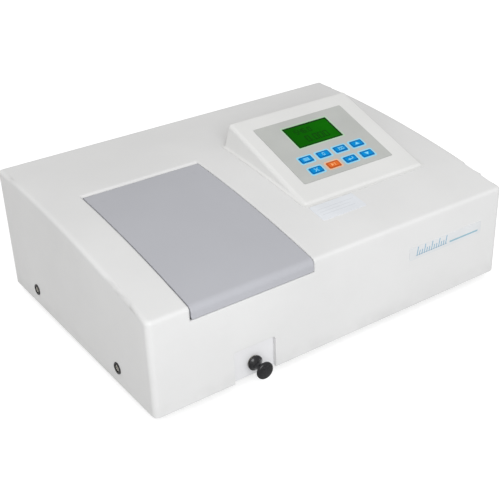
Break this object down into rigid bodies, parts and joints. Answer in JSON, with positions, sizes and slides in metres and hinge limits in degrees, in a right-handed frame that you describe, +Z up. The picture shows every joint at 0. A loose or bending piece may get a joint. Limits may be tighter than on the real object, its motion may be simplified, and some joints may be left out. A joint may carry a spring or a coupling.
{
  "type": "benchtop spectrophotometer",
  "caption": "Benchtop visible spectrophotometer: crowned pale cover, hinged grey sample lid, pull-rod cell changer, raised sloping console with display and keys, optics and electronics inside.",
  "frame": {"origin": "on the bench, under the centre of the whole outline with the pull knob pushed in", "axes": "+X to the operator's right, +Y from the front to the back, +Z up"},
  "size_m": [0.4784, 0.359, 0.1887],
  "materials": {
    "cover_shell": "pale grey satin enamel on a moulded shell, faint orange peel",
    "steel_tray": "pale grey powder coat",
    "foot_rubber": "matt black rubber",
    "screw_steel": "bright nickel-plated steel",
    "cup_black": "black moulded cup washers",
    "front_plate": "printed pale blue name-plate foil with a wavelength scale",
    "paper_label": "thin printed vinyl",
    "lid_plastic": "mid grey satin enamel",
    "black_liner": "black light-trap flock",
    "pin_steel": "ground steel pin",
    "tub_black": "black matt moulding, light absorbing",
    "gasket_foam": "closed-cell black foam",
    "rod_steel": "ground and polished rod",
    "carriage_black": "black anodised",
    "holder_black": "black anodised, machined",
    "spring_steel": "spring steel strip",
    "knob_black": "glossy black phenolic",
    "plate_grey": "pale grey enamel",
    "bush_brass": "turned brass",
    "mono_cast": "black finished casting",
    "mono_lid": "black finished sheet",
    "slit_steel": "blued steel strip",
    "mirror_glass": "aluminised glass",
    "mount_black": "black anodised",
    "lens_glass": "polished optical glass",
    "grating_glass": "ruled replica, rainbow sheen",
    "table_alloy": "machined brass sector and table",
    "pinion_brass": "hobbed brass",
    "motor_steel": "steel cans",
    "lamp_sheet": "zinc-grey sheet",
    "lamp_ceramic": "glazed steatite",
    "lamp_quartz": "quartz envelope",
    "wheel_alloy": "black anodised",
    "filter_glass": "tinted order-sorting filters",
    "detector_alloy": "plain machined",
    "diode_board": "green board with a metal-canned photodiode",
    "console_plastic": "pale grey satin moulding",
    "overlay_film": "grey-green printed polyester membrane",
    "key_blue": "blue domed membrane key",
    "key_orange": "orange domed membrane key",
    "lcd_green": "green liquid-crystal display",
    "board_green": "green solder mask",
    "panel_paint": "pale grey powder coat",
    "inlet_black": "black moulding",
    "fuse_black": "black moulding",
    "rocker_black": "glossy black rocker",
    "port_metal": "tin-plated shell",
    "fan_black": "black moulding",
    "supply_metal": "perforated zinc-plated steel",
    "ribbon_grey": "grey flat cable"
  },
  "bodies": {
    "chassis": {"base_tray": "steel_tray", "concave_mirrors": "mirror_glass", "console_shell": "console_plastic", "cover_screw_cups": "cup_black", "cover_screws": "screw_steel", "detector_housing": "detector_alloy", "display_ribbon": "ribbon_grey", "fan_frame": "fan_black", "foot_screws": "screw_steel", "front_label": "front_plate", "guide_rods": "rod_steel", "halogen_lamp": "lamp_quartz", "hinge_pins": "pin_steel", "keypad_board": "board_green", "keypad_overlay": "overlay_film", "lamp_house": "lamp_sheet", "lamp_socket": "lamp_ceramic", "lcd_module": "lcd_green", "lenses": "lens_glass", "main_board": "board_green", "mains_inlet": "inlet_black", "mono_cover": "mono_lid", "mono_housing": "mono_cast", "optic_mounts": "mount_black", "photodiode": "diode_board", "power_supply": "supply_metal", "rear_panel": "panel_paint", "rim_gasket": "gasket_foam", "rod_bush": "bush_brass", "rod_guide_plate": "plate_grey", "rubber_feet": "foot_rubber", "sample_tub": "tub_black", "serial_port": "port_metal", "slit_plates": "slit_steel", "stepper_motors": "motor_steel", "top_cover": "cover_shell", "top_label": "paper_label"},
    "lid": {"sample_lid": "lid_plastic", "lid_liner": "black_liner"},
    "changer": {"cell_carriage": "carriage_black", "cell_holder": "holder_black", "cuvette_springs": "spring_steel", "pull_rod": "rod_steel", "pull_knob": "knob_black"},
    "rocker": {"power_rocker": "rocker_black"},
    "fuse_carrier": {"fuse_drawer": "fuse_black"},
    "fan": {"fan_rotor": "fan_black"},
    "filters": {"filter_wheel": "wheel_alloy", "order_filters": "filter_glass"},
    "wavelength_table": {"grating_table": "table_alloy", "grating": "grating_glass"},
    "wavelength_pinion": {"motor_pinion": "pinion_brass"},
    "key_mode": {"key_mode": "key_blue"},
    "key_zero": {"key_zero": "key_blue"},
    "key_full": {"key_full": "key_blue"},
    "key_up": {"key_up": "key_blue"},
    "key_clear": {"key_clear": "key_blue"},
    "key_start": {"key_start": "key_orange"},
    "key_enter": {"key_enter": "key_blue"},
    "key_down": {"key_down": "key_blue"}
  },
  "joints": [
    {"name": "lid_hinge", "type": "hinge", "parent": "chassis", "child": "lid", "pos_m": [-0.115, 0.0468, 0.14391], "axis": [-1, 0, 0], "range_deg": [0, 80]},
    {"name": "changer_slide", "type": "slide", "parent": "chassis", "child": "changer", "axis": [0, -1, 0], "range_m": [0, 0.06]},
    {"name": "power_rocker_tilt", "type": "hinge", "parent": "chassis", "child": "rocker", "pos_m": [-0.163, 0.1702, 0.0665], "axis": [1, 0, 0], "range_deg": [0, 16]},
    {"name": "fuse_drawer_slide", "type": "slide", "parent": "chassis", "child": "fuse_carrier", "axis": [0, 1, 0], "range_m": [0, 0.018]},
    {"name": "fan_spin", "type": "hinge", "parent": "chassis", "child": "fan", "pos_m": [0.147, 0.165, 0.055], "axis": [0, 1, 0], "continuous": true},
    {"name": "filter_wheel_turn", "type": "hinge", "parent": "chassis", "child": "filters", "pos_m": [0.133, 0.045, 0.061], "axis": [0, 1, 0], "continuous": true},
    {"name": "wavelength_turn", "type": "hinge", "parent": "chassis", "child": "wavelength_table", "pos_m": [0.047, -0.0005, 0.03], "axis": [0, 0, 1], "range_deg": [-8, 18.5]},
    {"name": "wavelength_pinion_turn", "type": "hinge", "parent": "chassis", "child": "wavelength_pinion", "pos_m": [-0.001, -0.0005, 0.03], "axis": [0, 0, 1], "range_deg": [-95, 45]},
    {"name": "key_mode_press", "type": "slide", "parent": "chassis", "child": "key_mode", "axis": [0, 0.3272, -0.9449], "range_m": [0, 0.0005], "stiffness_N_per_m": 400},
    {"name": "key_zero_press", "type": "slide", "parent": "chassis", "child": "key_zero", "axis": [0, 0.3272, -0.9449], "range_m": [0, 0.0005], "stiffness_N_per_m": 400},
    {"name": "key_full_press", "type": "slide", "parent": "chassis", "child": "key_full", "axis": [0, 0.3272, -0.9449], "range_m": [0, 0.0005], "stiffness_N_per_m": 400},
    {"name": "key_up_press", "type": "slide", "parent": "chassis", "child": "key_up", "axis": [0, 0.3272, -0.9449], "range_m": [0, 0.0005], "stiffness_N_per_m": 400},
    {"name": "key_clear_press", "type": "slide", "parent": "chassis", "child": "key_clear", "axis": [0, 0.3272, -0.9449], "range_m": [0, 0.0005], "stiffness_N_per_m": 400},
    {"name": "key_start_press", "type": "slide", "parent": "chassis", "child": "key_start", "axis": [0, 0.3272, -0.9449], "range_m": [0, 0.0005], "stiffness_N_per_m": 400},
    {"name": "key_enter_press", "type": "slide", "parent": "chassis", "child": "key_enter", "axis": [0, 0.3272, -0.9449], "range_m": [0, 0.0005], "stiffness_N_per_m": 400},
    {"name": "key_down_press", "type": "slide", "parent": "chassis", "child": "key_down", "axis": [0, 0.3272, -0.9449], "range_m": [0, 0.0005], "stiffness_N_per_m": 400}
  ],
  "couplings": [
    {"joint": "wavelength_pinion_turn", "follows": "wavelength_turn", "ratio": -5}
  ]
}
